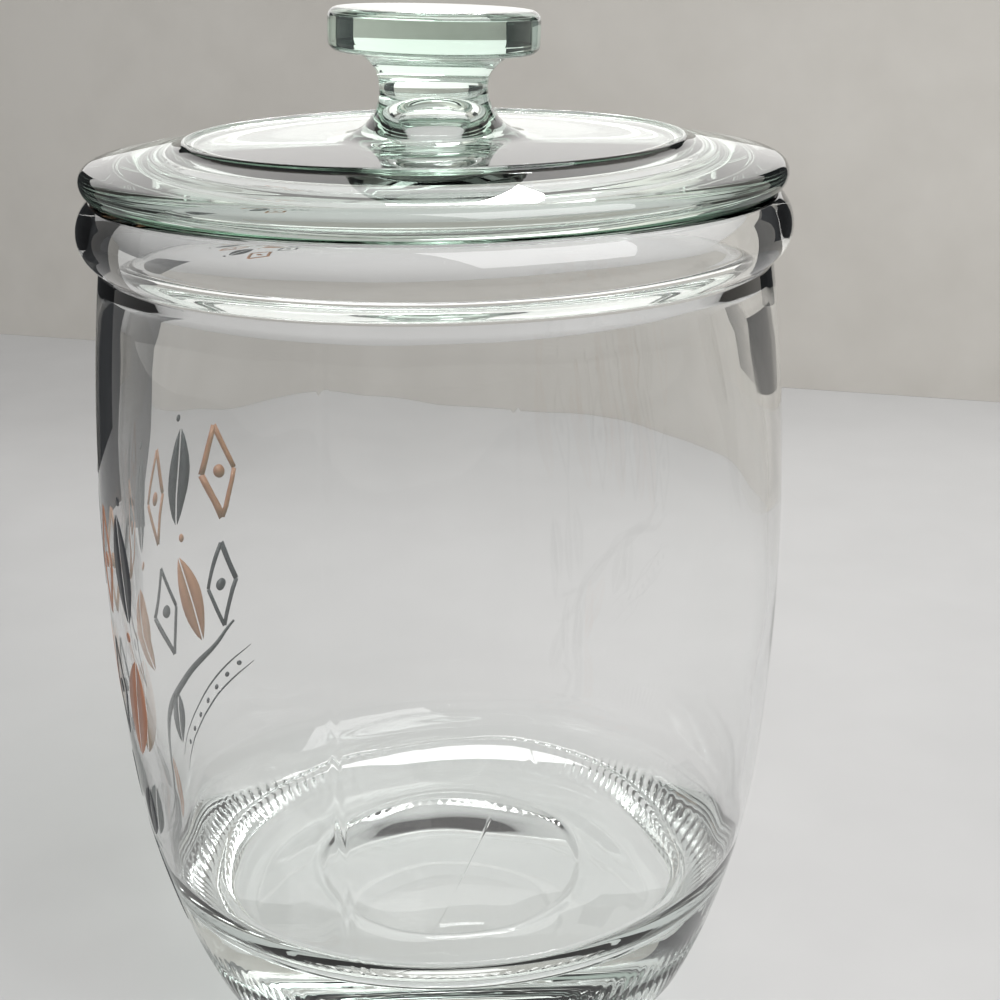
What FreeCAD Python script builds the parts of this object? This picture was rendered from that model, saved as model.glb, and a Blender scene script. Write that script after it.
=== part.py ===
import FreeCAD, Part

import math
import os
import types

import Sketcher

# Glass canister: a barrel-shaped jar with a rolled bead at its mouth, and a loose pressed-glass
# lid whose knob is one piece with it.  All sizes are in millimetres.  The origin is the centre of
# the underside and +Z points up.  Heights of the jar are above the ground, and heights of the lid
# are above its seat, the flat top of the jar's lip, from which its plug hangs into the mouth.
SIZES = {
    # jar, outside
    "mouth_height": 173.4,
    "neck_wall": 4.8,
    "neck_drop": 12.7,
    "lip_width": 5.6,
    "lip_round": 1.2,
    "bead_reach": 3.0,
    "bead_drop": 6.4,
    "belly_swell": 3.6,
    "belly_height": 105.0,
    "belly_bow": 470.0,
    "taper_height": 55.0,
    "heel_radius": 10.0,
    "foot_inset": 25.0,
    "bearing_width": 8.0,
    "pushup_depth": 1.6,
    # jar, inside
    "mouth_radius": 62.6,
    "throat_drop": 5.0,
    "wall": 3.4,
    "bowl_radius": 14.0,
    "floor_bow": 229.0,
    "floor_height": 20.0,
    # lid, underside
    "plug_clearance": 1.3,
    "plug_depth": 3.5,
    "plug_width": 6.0,
    "lid_thickness": 5.6,
    "stem_wall": 3.1,
    "dimple_height": 17.6,
    "under_round": 1.5,
    # lid, outside
    "lid_overhang": 1.8,
    "rim_height": 3.7,
    "rim_round": 2.8,
    "slope_width": 20.6,
    "shoulder_height": 9.8,
    "crown": 0.6,
    # knob
    "stem_radius": 10.7,
    "waist_height": 19.3,
    "knob_radius": 20.8,
    "knob_height": 26.2,
    "knob_thickness": 9.1,
    "knob_round": 2.0,
}

# What follows from those sizes.  The levels of the lid are above the underside of its plug.
FIT = {
    "neck_radius": "Sizes.mouth_radius + Sizes.neck_wall",
    "neck_height": "Sizes.mouth_height - Sizes.neck_drop",
    "lip_radius": "Sizes.mouth_radius + Sizes.lip_width",
    "bead_radius": "lip_radius + Sizes.bead_reach",
    "bead_height": "Sizes.mouth_height - Sizes.bead_drop",
    "belly_radius": "neck_radius + Sizes.belly_swell",
    "foot_radius": "belly_radius - Sizes.foot_inset",
    "pushup_radius": "foot_radius - Sizes.bearing_width",
    "throat_radius": "neck_radius - Sizes.wall",
    "throat_height": "neck_height - Sizes.throat_drop",
    "inner_belly": "belly_radius - Sizes.wall",
    "inner_bow": "Sizes.belly_bow - Sizes.wall",
    "plug_radius": "Sizes.mouth_radius - Sizes.plug_clearance",
    "ring_radius": "plug_radius - Sizes.plug_width",
    "lid_radius": "lip_radius + Sizes.lid_overhang",
    "rim_level": "Sizes.plug_depth + Sizes.rim_height",
    "shoulder_radius": "lid_radius - Sizes.slope_width",
    "shoulder_level": "Sizes.plug_depth + Sizes.shoulder_height",
    "crown_radius": "(shoulder_radius ^ 2 + Sizes.crown ^ 2) / (2 * Sizes.crown)",
    "ceiling_level": "shoulder_level - Sizes.lid_thickness",
    "waist_level": "Sizes.plug_depth + Sizes.waist_height",
    "knob_level": "Sizes.plug_depth + Sizes.knob_height",
    "knob_top": "knob_level + Sizes.knob_thickness",
    "dimple_radius": "Sizes.stem_radius - Sizes.stem_wall",
    "dimple_level": "Sizes.plug_depth + Sizes.dimple_height",
    "lid_place": "Sizes.mouth_height - Sizes.plug_depth",
}


def make_sheet(doc):
    sheet = doc.addObject("Spreadsheet::Sheet", "Sizes")
    for row, (name, value) in enumerate(SIZES.items(), start=1):
        sheet.set(f"A{row}", name)
        sheet.set(f"B{row}", str(value))
        sheet.setAlias(f"B{row}", name)
    doc.recompute()
    return sheet


def make_fit(doc):
    """A set of variables that the sheet's cells drive, one for each entry of FIT."""
    fit = doc.addObject("App::VarSet", "Fit")
    for name, expression in FIT.items():
        fit.addProperty("App::PropertyFloat", name, "Fit")
        fit.setExpression(name, expression)
    doc.recompute()
    return fit


def read_sizes(sheet, fit):
    """Every named size as a number."""
    numbers = {name: getattr(sheet, name) for name in SIZES}
    return types.SimpleNamespace(**numbers, **{name: getattr(fit, name) for name in FIT})


def formula(name):
    return f"Fit.{name}" if name in FIT else f"Sizes.{name}"


def vector(point):
    return FreeCAD.Vector(point[0], point[1], 0)


class Outline:
    """A closed half section in the XZ plane of a body, drawn from segment to segment.

    Every segment starts where the one before it ended.  The sketch's own constraints hold it:
    the first shape only has to be near the solution."""

    def __init__(self, body, name, size):
        self.size = size
        self.sketch = body.newObject("Sketcher::SketchObject", name)
        plane = next(f for f in body.Origin.OriginFeatures if f.Role == "XZ_Plane")
        self.sketch.AttachmentSupport = [(plane, "")]
        self.sketch.MapMode = "FlatFace"
        self.segments = []

    def add(self, geometry, start_id, end_id):
        index = self.sketch.addGeometry(geometry, False)
        self.segments.append((index, start_id, end_id))
        return len(self.segments) - 1

    def line(self, start, end):
        return self.add(Part.LineSegment(vector(start), vector(end)), 1, 2)

    def arc(self, start, end, centre, anticlockwise=True):
        first, last = (start, end) if anticlockwise else (end, start)
        angles = [math.atan2(p[1] - centre[1], p[0] - centre[0]) for p in (first, last)]
        circle = Part.Circle(vector(centre), FreeCAD.Vector(0, 0, 1), math.dist(centre, first))
        ids = (1, 2) if anticlockwise else (2, 1)
        return self.add(Part.ArcOfCircle(circle, angles[0], angles[1]), *ids)

    def constrain(self, *values):
        return self.sketch.addConstraint(Sketcher.Constraint(*values))

    def close(self, smooth):
        """Join the segments end to end; a pair in smooth is also tangent at its joint."""
        for number, (index, _, end_id) in enumerate(self.segments):
            following, start_id, _ = self.segments[(number + 1) % len(self.segments)]
            kind = "Tangent" if number in smooth else "Coincident"
            self.constrain(kind, index, end_id, following, start_id)

    def bind(self, *values):
        """Add a constraint whose value, given last by its name, stays bound to that size."""
        name = values[-1]
        constraint = self.constrain(*values[:-1], getattr(self.size, name))
        self.sketch.setExpression(f"Constraints[{constraint}]", formula(name))

    def place(self, number, across=None, up=None, vertex=None):
        """Set the end of a segment (or its centre, vertex 3) by named sizes."""
        index, _, end_id = self.segments[number]
        vertex = vertex or end_id
        if across:
            self.bind("DistanceX", -1, 1, index, vertex, across)
        if up:
            self.bind("DistanceY", -1, 1, index, vertex, up)

    def on_axis(self, number, vertex=None):
        index, _, end_id = self.segments[number]
        self.constrain("PointOnObject", index, vertex or end_id, -2)

    def on_ground(self, number):
        index, _, end_id = self.segments[number]
        self.constrain("PointOnObject", index, end_id, -1)

    def at_origin(self, number):
        index, _, end_id = self.segments[number]
        self.constrain("Coincident", index, end_id, -1, 1)

    def level(self, number):
        self.constrain("Horizontal", self.segments[number][0])

    def upright(self, number):
        self.constrain("Vertical", self.segments[number][0])

    def radius(self, number, name):
        self.bind("Radius", self.segments[number][0], name)


def level_centre(side, end):
    """Centre, level with side, of the arc through both points."""
    across, up = side[0] - end[0], side[1] - end[1]
    return (side[0] - (across * across + up * up) / (2 * across), side[1])


def make_turned(doc, body, outline, feature_type, name):
    """Turn an outline once about the body's upright axis; a groove has to take material away."""
    before = 0 if body.Shape.isNull() else body.Shape.Volume
    doc.recompute()
    turned = body.newObject(feature_type, name)
    turned.Profile = outline.sketch
    turned.ReferenceAxis = (outline.sketch, ["V_Axis"])
    turned.Angle = 360
    body.Tip = turned
    doc.recompute()
    if feature_type == "PartDesign::Groove" and body.Shape.Volume > 0.95 * before:
        raise RuntimeError(f"{name} cut nothing")


def ring_edges(shape, rings):
    """Names of the round edges at the given (radius, height) pairs of a body's own frame."""
    names = []
    for number, edge in enumerate(shape.Edges, start=1):
        if edge.Degenerated or not isinstance(edge.Curve, Part.Circle):
            continue
        here = (edge.Curve.Radius, edge.Curve.Center.z)
        if any(math.dist(here, ring) < 1e-3 for ring in rings):
            names.append(f"Edge{number}")
    if len(names) != len(rings):
        raise RuntimeError(f"found {len(names)} round edges for {len(rings)} rings")
    return names


def add_fillet(doc, body, name, rings, size_name):
    base = body.Tip
    fillet = body.newObject("PartDesign::Fillet", name)
    fillet.Base = (base, ring_edges(base.Shape, rings))
    fillet.setExpression("Radius", formula(size_name))
    body.Tip = fillet
    doc.recompute()


def heel_and_taper(size):
    """Points and centres of the arcs between the foot and the barrel, all tangent in turn.

    The taper is the one arc that touches both the heel's arc and the barrel's at taper_height."""
    heel_centre = (size.foot_radius, size.heel_radius)
    bow_centre = (size.belly_radius - size.belly_bow, size.belly_height)
    fall = size.belly_height - size.taper_height
    reach = math.sqrt(size.belly_bow ** 2 - fall ** 2)
    bow_end = (bow_centre[0] + reach, size.taper_height)
    inward = (-reach / size.belly_bow, fall / size.belly_bow)
    back = (bow_end[0] - heel_centre[0], bow_end[1] - heel_centre[1])
    along = back[0] * inward[0] + back[1] * inward[1]
    gap = size.heel_radius ** 2 - back[0] ** 2 - back[1] ** 2
    taper = gap / (2 * (along + size.heel_radius))
    taper_centre = (bow_end[0] + taper * inward[0], bow_end[1] + taper * inward[1])
    share = size.heel_radius / (taper - size.heel_radius)
    heel_end = tuple(h + (h - c) * share for h, c in zip(heel_centre, taper_centre))
    return heel_centre, heel_end, taper_centre, bow_end, bow_centre


def jar_blank(body, size):
    """Outside of the jar, solid through: foot, heel, barrel, bead and lip."""
    heel_centre, heel_end, taper_centre, bow_end, bow_centre = heel_and_taper(size)
    push = (size.pushup_depth ** 2 - size.pushup_radius ** 2) / (2 * size.pushup_depth)
    push_top = (0, size.pushup_depth)
    push_edge = (size.pushup_radius, 0)
    foot = (size.foot_radius, 0)
    belly = (size.belly_radius, size.belly_height)
    neck = (size.neck_radius, size.neck_height)
    bead = (size.bead_radius, size.bead_height)
    lip = (size.lip_radius, size.mouth_height)
    outline = Outline(body, "JarOutside", size)
    pushup = outline.arc(push_top, push_edge, (0, push), anticlockwise=False)
    bearing = outline.line(push_edge, foot)
    heel = outline.arc(foot, heel_end, heel_centre)
    taper = outline.arc(heel_end, bow_end, taper_centre)
    bow = outline.arc(bow_end, belly, bow_centre)
    barrel = outline.arc(belly, neck, level_centre(belly, neck))
    bead_low = outline.arc(neck, bead, level_centre(bead, neck))
    bead_top = outline.arc(bead, lip, level_centre(bead, lip))
    top = outline.line(lip, (0, size.mouth_height))
    axis = outline.line((0, size.mouth_height), push_top)
    outline.close(smooth=(bearing, heel, taper, bow, bead_low))
    outline.on_axis(pushup, vertex=3)
    outline.on_axis(top)
    outline.on_axis(axis)
    outline.on_ground(pushup)
    outline.on_ground(bearing)
    outline.place(axis, up="pushup_depth")
    outline.place(pushup, across="pushup_radius")
    outline.place(bearing, across="foot_radius")
    outline.radius(heel, "heel_radius")
    outline.place(taper, up="taper_height")
    outline.radius(bow, "belly_bow")
    outline.place(bow, "belly_radius", "belly_height")
    outline.place(bow, up="belly_height", vertex=3)
    outline.place(barrel, "neck_radius", "neck_height")
    outline.place(bead_low, "bead_radius", "bead_height")
    outline.place(bead_low, up="bead_height", vertex=3)
    outline.place(bead_top, "lip_radius", "mouth_height")
    outline.place(top, up="mouth_height")
    return outline


def floor_and_bowl(size):
    """Points and centres of the dished floor and of the arc that leads from it into the wall.

    The bowl is the one arc of its radius that touches both the floor's arc and the wall's."""
    floor_centre = (0, size.floor_height + size.floor_bow)
    bow_centre = (size.belly_radius - size.belly_bow, size.belly_height)
    floor_reach = size.floor_bow - size.bowl_radius
    bow_reach = size.inner_bow - size.bowl_radius
    apart = math.dist(floor_centre, bow_centre)
    along = (apart ** 2 + bow_reach ** 2 - floor_reach ** 2) / (2 * apart)
    aside = math.sqrt(bow_reach ** 2 - along ** 2)
    ahead = tuple((f - b) / apart for f, b in zip(floor_centre, bow_centre))
    bowl_centre = (
        bow_centre[0] + along * ahead[0] + aside * ahead[1],
        bow_centre[1] + along * ahead[1] - aside * ahead[0],
    )
    floor_share = size.floor_bow / floor_reach
    floor_end = tuple(f + (c - f) * floor_share for f, c in zip(floor_centre, bowl_centre))
    bow_share = size.inner_bow / bow_reach
    bowl_end = tuple(b + (c - b) * bow_share for b, c in zip(bow_centre, bowl_centre))
    return floor_centre, floor_end, bowl_centre, bowl_end, bow_centre


def jar_cavity(body, size):
    """Inside of the jar: a dished floor that turns up as a bowl, the barrel less its wall, the
    mouth."""
    floor_centre, floor_end, bowl_centre, bowl_end, bow_centre = floor_and_bowl(size)
    floor_low = (0, size.floor_height)
    belly = (size.inner_belly, size.belly_height)
    throat_low = (size.throat_radius, size.throat_height)
    throat_top = (size.mouth_radius, size.neck_height)
    mouth = (size.mouth_radius, size.mouth_height)
    outline = Outline(body, "JarInside", size)
    floor = outline.arc(floor_low, floor_end, floor_centre)
    bowl = outline.arc(floor_end, bowl_end, bowl_centre)
    bow = outline.arc(bowl_end, belly, bow_centre)
    barrel = outline.arc(belly, throat_low, level_centre(belly, throat_low))
    throat = outline.line(throat_low, throat_top)
    bore = outline.line(throat_top, mouth)
    top = outline.line(mouth, (0, size.mouth_height))
    axis = outline.line((0, size.mouth_height), floor_low)
    outline.close(smooth=(floor, bowl, bow))
    outline.on_axis(floor, vertex=3)
    outline.on_axis(top)
    outline.on_axis(axis)
    outline.place(axis, up="floor_height")
    outline.radius(floor, "floor_bow")
    outline.radius(bowl, "bowl_radius")
    outline.radius(bow, "inner_bow")
    outline.place(bow, "inner_belly", "belly_height")
    outline.place(bow, up="belly_height", vertex=3)
    outline.place(barrel, "throat_radius", "throat_height")
    outline.place(throat, "mouth_radius", "neck_height")
    outline.place(bore, "mouth_radius", "mouth_height")
    outline.place(top, up="mouth_height")
    return outline


def make_jar(doc, size):
    body = doc.addObject("PartDesign::Body", "Jar")
    body.Label = "jar"
    make_turned(doc, body, jar_blank(body, size), "PartDesign::Revolution", "JarBlank")
    make_turned(doc, body, jar_cavity(body, size), "PartDesign::Groove", "JarHollow")
    lip_rings = [(size.lip_radius, size.mouth_height), (size.mouth_radius, size.mouth_height)]
    add_fillet(doc, body, "LipRound", lip_rings, "lip_round")
    crease = [(size.neck_radius, size.neck_height)]
    add_fillet(doc, body, "NeckCrease", crease, "lip_round")
    return body


def lid_blank(body, size):
    """Outside of the lid and its knob, solid through, above the underside of the plug."""
    seat = size.plug_depth
    plug = (size.plug_radius, seat)
    flange = (size.lid_radius - size.rim_height, seat)
    rim = (size.lid_radius, size.rim_level)
    round_centre = (size.lid_radius - size.rim_round, size.rim_level)
    shoulder = (size.shoulder_radius, size.shoulder_level)
    rise = (shoulder[0] - round_centre[0], shoulder[1] - round_centre[1])
    lean = math.atan2(rise[1], rise[0]) - math.acos(size.rim_round / math.hypot(*rise))
    slope_start = (round_centre[0] + size.rim_round * math.cos(lean),
                   round_centre[1] + size.rim_round * math.sin(lean))
    crown_centre = (0, size.shoulder_level + size.crown - size.crown_radius)
    waist = (size.stem_radius, size.waist_level)
    lift = size.waist_level - crown_centre[1]
    spare = size.stem_radius ** 2 + lift ** 2 - size.crown_radius ** 2
    sweep = spare / (2 * (size.crown_radius - size.stem_radius))
    sweep_centre = (size.stem_radius + sweep, size.waist_level)
    share = size.crown_radius / (size.crown_radius + sweep)
    sweep_start = tuple(c + (s - c) * share for c, s in zip(crown_centre, sweep_centre))
    flare = size.knob_height - size.waist_height
    flare_centre = (size.stem_radius + flare, size.waist_level)
    flare_end = (flare_centre[0], size.knob_level)
    knob_low = (size.knob_radius, size.knob_level)
    knob_high = (size.knob_radius, size.knob_top)
    outline = Outline(body, "LidOutside", size)
    under = outline.line((0, 0), (size.plug_radius, 0))
    plug_side = outline.line((size.plug_radius, 0), plug)
    flange_under = outline.line(plug, flange)
    rim_low = outline.arc(flange, rim, (flange[0], size.rim_level))
    rim_top = outline.arc(rim, slope_start, round_centre)
    slope = outline.line(slope_start, shoulder)
    crown = outline.arc(shoulder, sweep_start, crown_centre)
    foot = outline.arc(sweep_start, waist, sweep_centre, anticlockwise=False)
    flared = outline.arc(waist, flare_end, flare_centre, anticlockwise=False)
    knob_under = outline.line(flare_end, knob_low)
    knob_side = outline.line(knob_low, knob_high)
    top = outline.line(knob_high, (0, size.knob_top))
    axis = outline.line((0, size.knob_top), (0, 0))
    outline.close(smooth=(flange_under, rim_low, rim_top, crown, foot, flared))
    outline.at_origin(axis)
    outline.on_axis(top)
    outline.on_axis(crown, vertex=3)
    outline.level(under)
    outline.level(flange_under)
    outline.level(knob_under)
    outline.level(top)
    outline.upright(plug_side)
    outline.upright(knob_side)
    outline.place(plug_side, "plug_radius", "plug_depth")
    outline.place(rim_low, "lid_radius", "rim_level")
    outline.place(rim_low, up="rim_level", vertex=3)
    outline.radius(rim_top, "rim_round")
    outline.place(slope, "shoulder_radius", "shoulder_level")
    outline.radius(crown, "crown_radius")
    outline.place(foot, "stem_radius", "waist_level")
    outline.place(foot, up="waist_level", vertex=3)
    outline.place(flared, up="knob_level")
    outline.place(knob_under, across="knob_radius")
    outline.place(knob_side, up="knob_top")
    return outline


def lid_hollow(body, size):
    """Underside of the lid: the plug is a ring, and a domed dimple rises into the stem."""
    dome = size.dimple_level - size.dimple_radius
    dimple_top = (0, size.dimple_level)
    outline = Outline(body, "LidInside", size)
    mouth = outline.line((0, 0), (size.ring_radius, 0))
    ring_side = outline.line((size.ring_radius, 0), (size.ring_radius, size.ceiling_level))
    under = outline.line((size.ring_radius, size.ceiling_level), (size.dimple_radius, size.ceiling_level))
    dimple_side = outline.line((size.dimple_radius, size.ceiling_level), (size.dimple_radius, dome))
    dimple = outline.arc((size.dimple_radius, dome), dimple_top, (0, dome))
    axis = outline.line(dimple_top, (0, 0))
    outline.close(smooth=(dimple_side,))
    outline.at_origin(axis)
    outline.on_axis(dimple)
    outline.on_axis(dimple, vertex=3)
    outline.level(mouth)
    outline.level(under)
    outline.upright(ring_side)
    outline.upright(dimple_side)
    outline.place(ring_side, "ring_radius", "ceiling_level")
    outline.radius(dimple, "dimple_radius")
    outline.place(dimple, up="dimple_level")
    return outline


def make_lid(doc, size):
    body = doc.addObject("PartDesign::Body", "Lid")
    body.Label = "lid"
    make_turned(doc, body, lid_blank(body, size), "PartDesign::Revolution", "LidBlank")
    make_turned(doc, body, lid_hollow(body, size), "PartDesign::Groove", "LidHollow")
    knob_rings = [(size.knob_radius, size.knob_level), (size.knob_radius, size.knob_top)]
    add_fillet(doc, body, "KnobRound", knob_rings, "knob_round")
    under_rings = [(size.dimple_radius, size.ceiling_level), (size.plug_radius, 0), (size.ring_radius, 0)]
    add_fillet(doc, body, "UndersideRound", under_rings, "under_round")
    body.setExpression("Placement.Base.z", formula("lid_place"))
    doc.recompute()
    return body


def check(doc, bodies):
    for thing in doc.Objects:
        if {"Invalid", "Error"} & set(thing.State):
            raise RuntimeError(f"{thing.Name} failed: {thing.State}")
        if thing.TypeId == "Sketcher::SketchObject" and not thing.FullyConstrained:
            raise RuntimeError(f"{thing.Name} is not fully constrained")
    for body in bodies:
        if body.Shape.isNull() or not body.Shape.isValid() or len(body.Shape.Solids) != 1:
            raise RuntimeError(f"{body.Label} is not one valid solid")


def main():
    doc = FreeCAD.newDocument("Canister")
    size = read_sizes(make_sheet(doc), make_fit(doc))
    bodies = [make_jar(doc, size), make_lid(doc, size)]
    check(doc, bodies)
    os.makedirs("parts", exist_ok=True)
    for body in bodies:
        body.Shape.exportStep(f"parts/{body.Label}.step")
        print(body.Label, f"{body.Shape.Volume / 1000:.2f} cm3")


main()
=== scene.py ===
import math
from collections import namedtuple

import bmesh
import bpy
from mathutils import Matrix, Vector, noise


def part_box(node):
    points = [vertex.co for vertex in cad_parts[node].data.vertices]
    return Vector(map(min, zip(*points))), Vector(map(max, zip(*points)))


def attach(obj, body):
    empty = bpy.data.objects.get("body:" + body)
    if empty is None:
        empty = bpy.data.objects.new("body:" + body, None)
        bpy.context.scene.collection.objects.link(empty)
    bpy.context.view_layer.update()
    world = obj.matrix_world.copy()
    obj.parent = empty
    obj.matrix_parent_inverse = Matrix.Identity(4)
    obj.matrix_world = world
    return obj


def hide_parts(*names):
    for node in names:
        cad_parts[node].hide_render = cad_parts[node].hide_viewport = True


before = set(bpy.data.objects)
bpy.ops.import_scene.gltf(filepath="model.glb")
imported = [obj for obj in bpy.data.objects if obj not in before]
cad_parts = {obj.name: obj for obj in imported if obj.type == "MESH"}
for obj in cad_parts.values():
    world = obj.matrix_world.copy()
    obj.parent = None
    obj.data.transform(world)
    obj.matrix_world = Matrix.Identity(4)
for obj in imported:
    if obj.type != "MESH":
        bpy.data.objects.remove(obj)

bl_info = {
    "name": "Glass canister",
    "version": (1, 0, 0),
    "blender": (4, 5, 0),
    "location": "View3D > Sidebar > Canister",
    "description": "Builds a lidded glass storage jar with a fired print, and its studio",
    "category": "Add Mesh",
}

_, JAR_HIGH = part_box("jar")
LID_LOW, LID_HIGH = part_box("lid")
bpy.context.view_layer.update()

# How finely the glass is turned: its steps round, and how often the first part is doubled.
JAR_STEPS = 640
LID_STEPS = 360
DOUBLINGS = 3
MERGE_GAP = 1e-6

# What the mould and the blowing leave on the jar.
HEEL_RIBS = 128
RIB_FADE = 0.3              # of the ribs' height, at each end
SEAM_REACH = 0.00001        # how near the seam's plane its vertices lie
SEAM_SHARE = 0.98           # of the push-up's radius, as far as the seam runs under the base
EDGE_SHARE = 1.5            # of the edge ridge's half width, as far in as its own steps run
RIDGE_NOISE = 70            # waves per metre
FLOOR_NOISE = 60            # waves per metre
WALL_NOISES = ((22, 1.6), (55, 0.5))    # waves per metre, and the share of the swell

# Where the knob's lean begins and ends, from the stem's waist, and the room left above for it.
BEND_LOW = -0.002
BEND_HIGH = 0.006
LEAN_ROOM = 0.0008

# How the printed film lies on the glass: its outer face above it, its thickness reaching in.
PRINT_LIFT = 0.00005
PRINT_DEPTH = 0.00008

# Air under the bearing ring.
FLOOR_GAP = 0.0001


def length(name, default, description):
    return bpy.props.FloatProperty(
        name=name, description=description, default=default,
        unit="LENGTH", subtype="DISTANCE", precision=5)


def angle(name, degrees, description):
    return bpy.props.FloatProperty(
        name=name, description=description, default=math.radians(degrees),
        unit="ROTATION", subtype="ANGLE")


def colour(name, default, description):
    return bpy.props.FloatVectorProperty(
        name=name, description=description, default=default,
        size=3, subtype="COLOR", min=0, max=1)


def number(name, default, description):
    return bpy.props.FloatProperty(name=name, description=description, default=default)


class JarSizes(bpy.types.PropertyGroup):
    """Sizes and tint of the jar."""

    height: length("Height", JAR_HIGH[2], "Height of the flat lip above the ground")
    bead_radius: length("Bead radius", JAR_HIGH[0], "Widest radius of the rolled bead")
    bead_drop: length("Bead drop", 0.0064, "Depth of the bead's widest ring below the lip")
    lip_radius: length("Lip radius", 0.0682, "Outer radius of the flat lip")
    mouth_radius: length("Mouth radius", 0.0626, "Radius of the bore")
    neck_radius: length("Neck radius", 0.0674, "Radius at the crease below the bead")
    neck_drop: length("Neck drop", 0.0127, "Depth of the crease below the lip")
    belly_radius: length("Belly radius", 0.071, "Radius at the belly")
    belly_height: length("Belly height", 0.105, "Height of the belly")
    belly_bow: length("Belly bow", 0.47, "Radius of the barrel's upright curve")
    taper_height: length("Taper height", 0.055, "Height where the lower curve begins")
    heel_radius: length("Heel radius", 0.01, "Radius of the rounded heel")
    foot_radius: length("Foot radius", 0.046, "Outer radius of the bearing ring")
    pushup_radius: length("Push-up radius", 0.038, "Radius of the hollow under the base")
    pushup_depth: length("Push-up depth", 0.0016, "Depth of the hollow under the base")
    wall: length("Wall", 0.0034, "Thickness of the barrel")
    throat_drop: length("Throat drop", 0.005, "Height over which the wall thickens to the mouth")
    bowl_radius: length("Bowl radius", 0.014, "Radius of the sweep from the floor to the wall")
    floor_bow: length("Floor bow", 0.229, "Radius of the floor's dish")
    floor_height: length("Floor height", 0.020, "Height of the floor's middle")
    lip_round: length("Lip round", 0.0012, "Radius of the lip's edges and of the crease")
    rib_depth: length("Rib depth", 0.0005, "Depth of the grooves round the heel")
    rib_low: length("Rib low", 0.0105, "Height where the grooves begin")
    rib_high: length("Rib high", 0.0185, "Height where the grooves end")
    ring_radius: length("Ring radius", 0.0295, "Radius of the ridge on the floor")
    ring_width: length("Ring width", 0.002, "Half the width of that ridge")
    ring_rise: length("Ring rise", 0.0004, "Height of that ridge")
    edge_radius: length("Edge radius", 0.0505, "Radius of the ridge where the floor turns up")
    edge_width: length("Edge width", 0.0013, "Half the width of that ridge")
    edge_rise: length("Edge rise", 0.0004, "Height of that ridge")
    seam_turn: angle("Seam turn", 73.125, "Direction of the mould seam, from +X")
    seam_rise: length("Seam rise", 0.0001, "Height of the mould seam")
    swell: length("Swell", 0.0003, "Unevenness of the inner wall and the floor")
    thicken: length("Thicken", 0.0020, "How much the inner wall leans in towards the mouth")
    thicken_from: length("Thicken from", 0.085, "Height where the inner wall begins to lean in")
    tint: colour("Tint", (0.70, 0.88, 0.80), "Colour that the jar's thickness gives")
    density: number("Density", 3.0, "Strength of that colour, per metre")


class LidSizes(bpy.types.PropertyGroup):
    """Sizes and tint of the lid; heights are above its seat on the lip."""

    radius: length("Radius", LID_HIGH[0], "Widest radius of the lid")
    top: length("Top", LID_HIGH[2] - JAR_HIGH[2] - LEAN_ROOM, "Height of the knob's top, upright")
    lean: angle("Lean", 2.0, "How far the knob leans to the right")
    ridge: length("Ridge", 0.0006, "Radius of the raised line round the shoulder")
    plug_depth: length("Plug depth", JAR_HIGH[2] - LID_LOW[2], "Depth of the ring in the mouth")
    plug_radius: length("Plug radius", 0.0613, "Outer radius of that ring")
    plug_width: length("Plug width", 0.006, "Width of that ring")
    soft: length("Soft", 0.0015, "Radius of the edges underneath")
    seat_gap: length("Seat gap", 0.0001, "Air between the lid and the lip")
    thickness: length("Thickness", 0.0056, "Thickness of the lid under its shoulder")
    rim_height: length("Rim height", 0.0037, "Height of the widest ring")
    rim_round: length("Rim round", 0.0028, "Radius of the rim's upper round")
    shoulder_radius: length("Shoulder radius", 0.0494, "Radius where the crown begins")
    shoulder_height: length("Shoulder height", 0.0098, "Height where the crown begins")
    crown: length("Crown", 0.0006, "Rise of the crown")
    stem_radius: length("Stem radius", 0.0107, "Radius of the stem's waist")
    waist_height: length("Waist height", 0.0193, "Height of the stem's waist")
    knob_radius: length("Knob radius", 0.0208, "Radius of the knob")
    knob_height: length("Knob height", 0.0262, "Height of the knob's underside")
    knob_round: length("Knob round", 0.002, "Radius of the knob's edges")
    dimple_radius: length("Dimple radius", 0.0076, "Radius of the dimple under the stem")
    dimple_height: length("Dimple height", 0.0176, "Height of the dimple's top")
    tint: colour("Tint", (0.66, 0.84, 0.74), "Colour that the lid's thickness gives")
    density: number("Density", 26.0, "Strength of that colour, per metre")


class PrintColours(bpy.types.PropertyGroup):
    """Colours of the fired print."""

    copper_dark: colour("Copper dark", (0.50, 0.22, 0.135), "Darker colour of the copper print")
    copper_light: colour("Copper light", (0.60, 0.28, 0.175), "Lighter colour of the copper print")
    charcoal_dark: colour("Charcoal dark", (0.045, 0.048, 0.055), "Darker colour of the dark print")
    charcoal_light: colour("Charcoal light", (0.075, 0.078, 0.085), "Lighter colour of it")
    mottle: number("Mottle", 60.0, "Waves of the print's mottle, per metre")
    roughness: number("Roughness", 0.4, "Roughness of the print")


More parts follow.
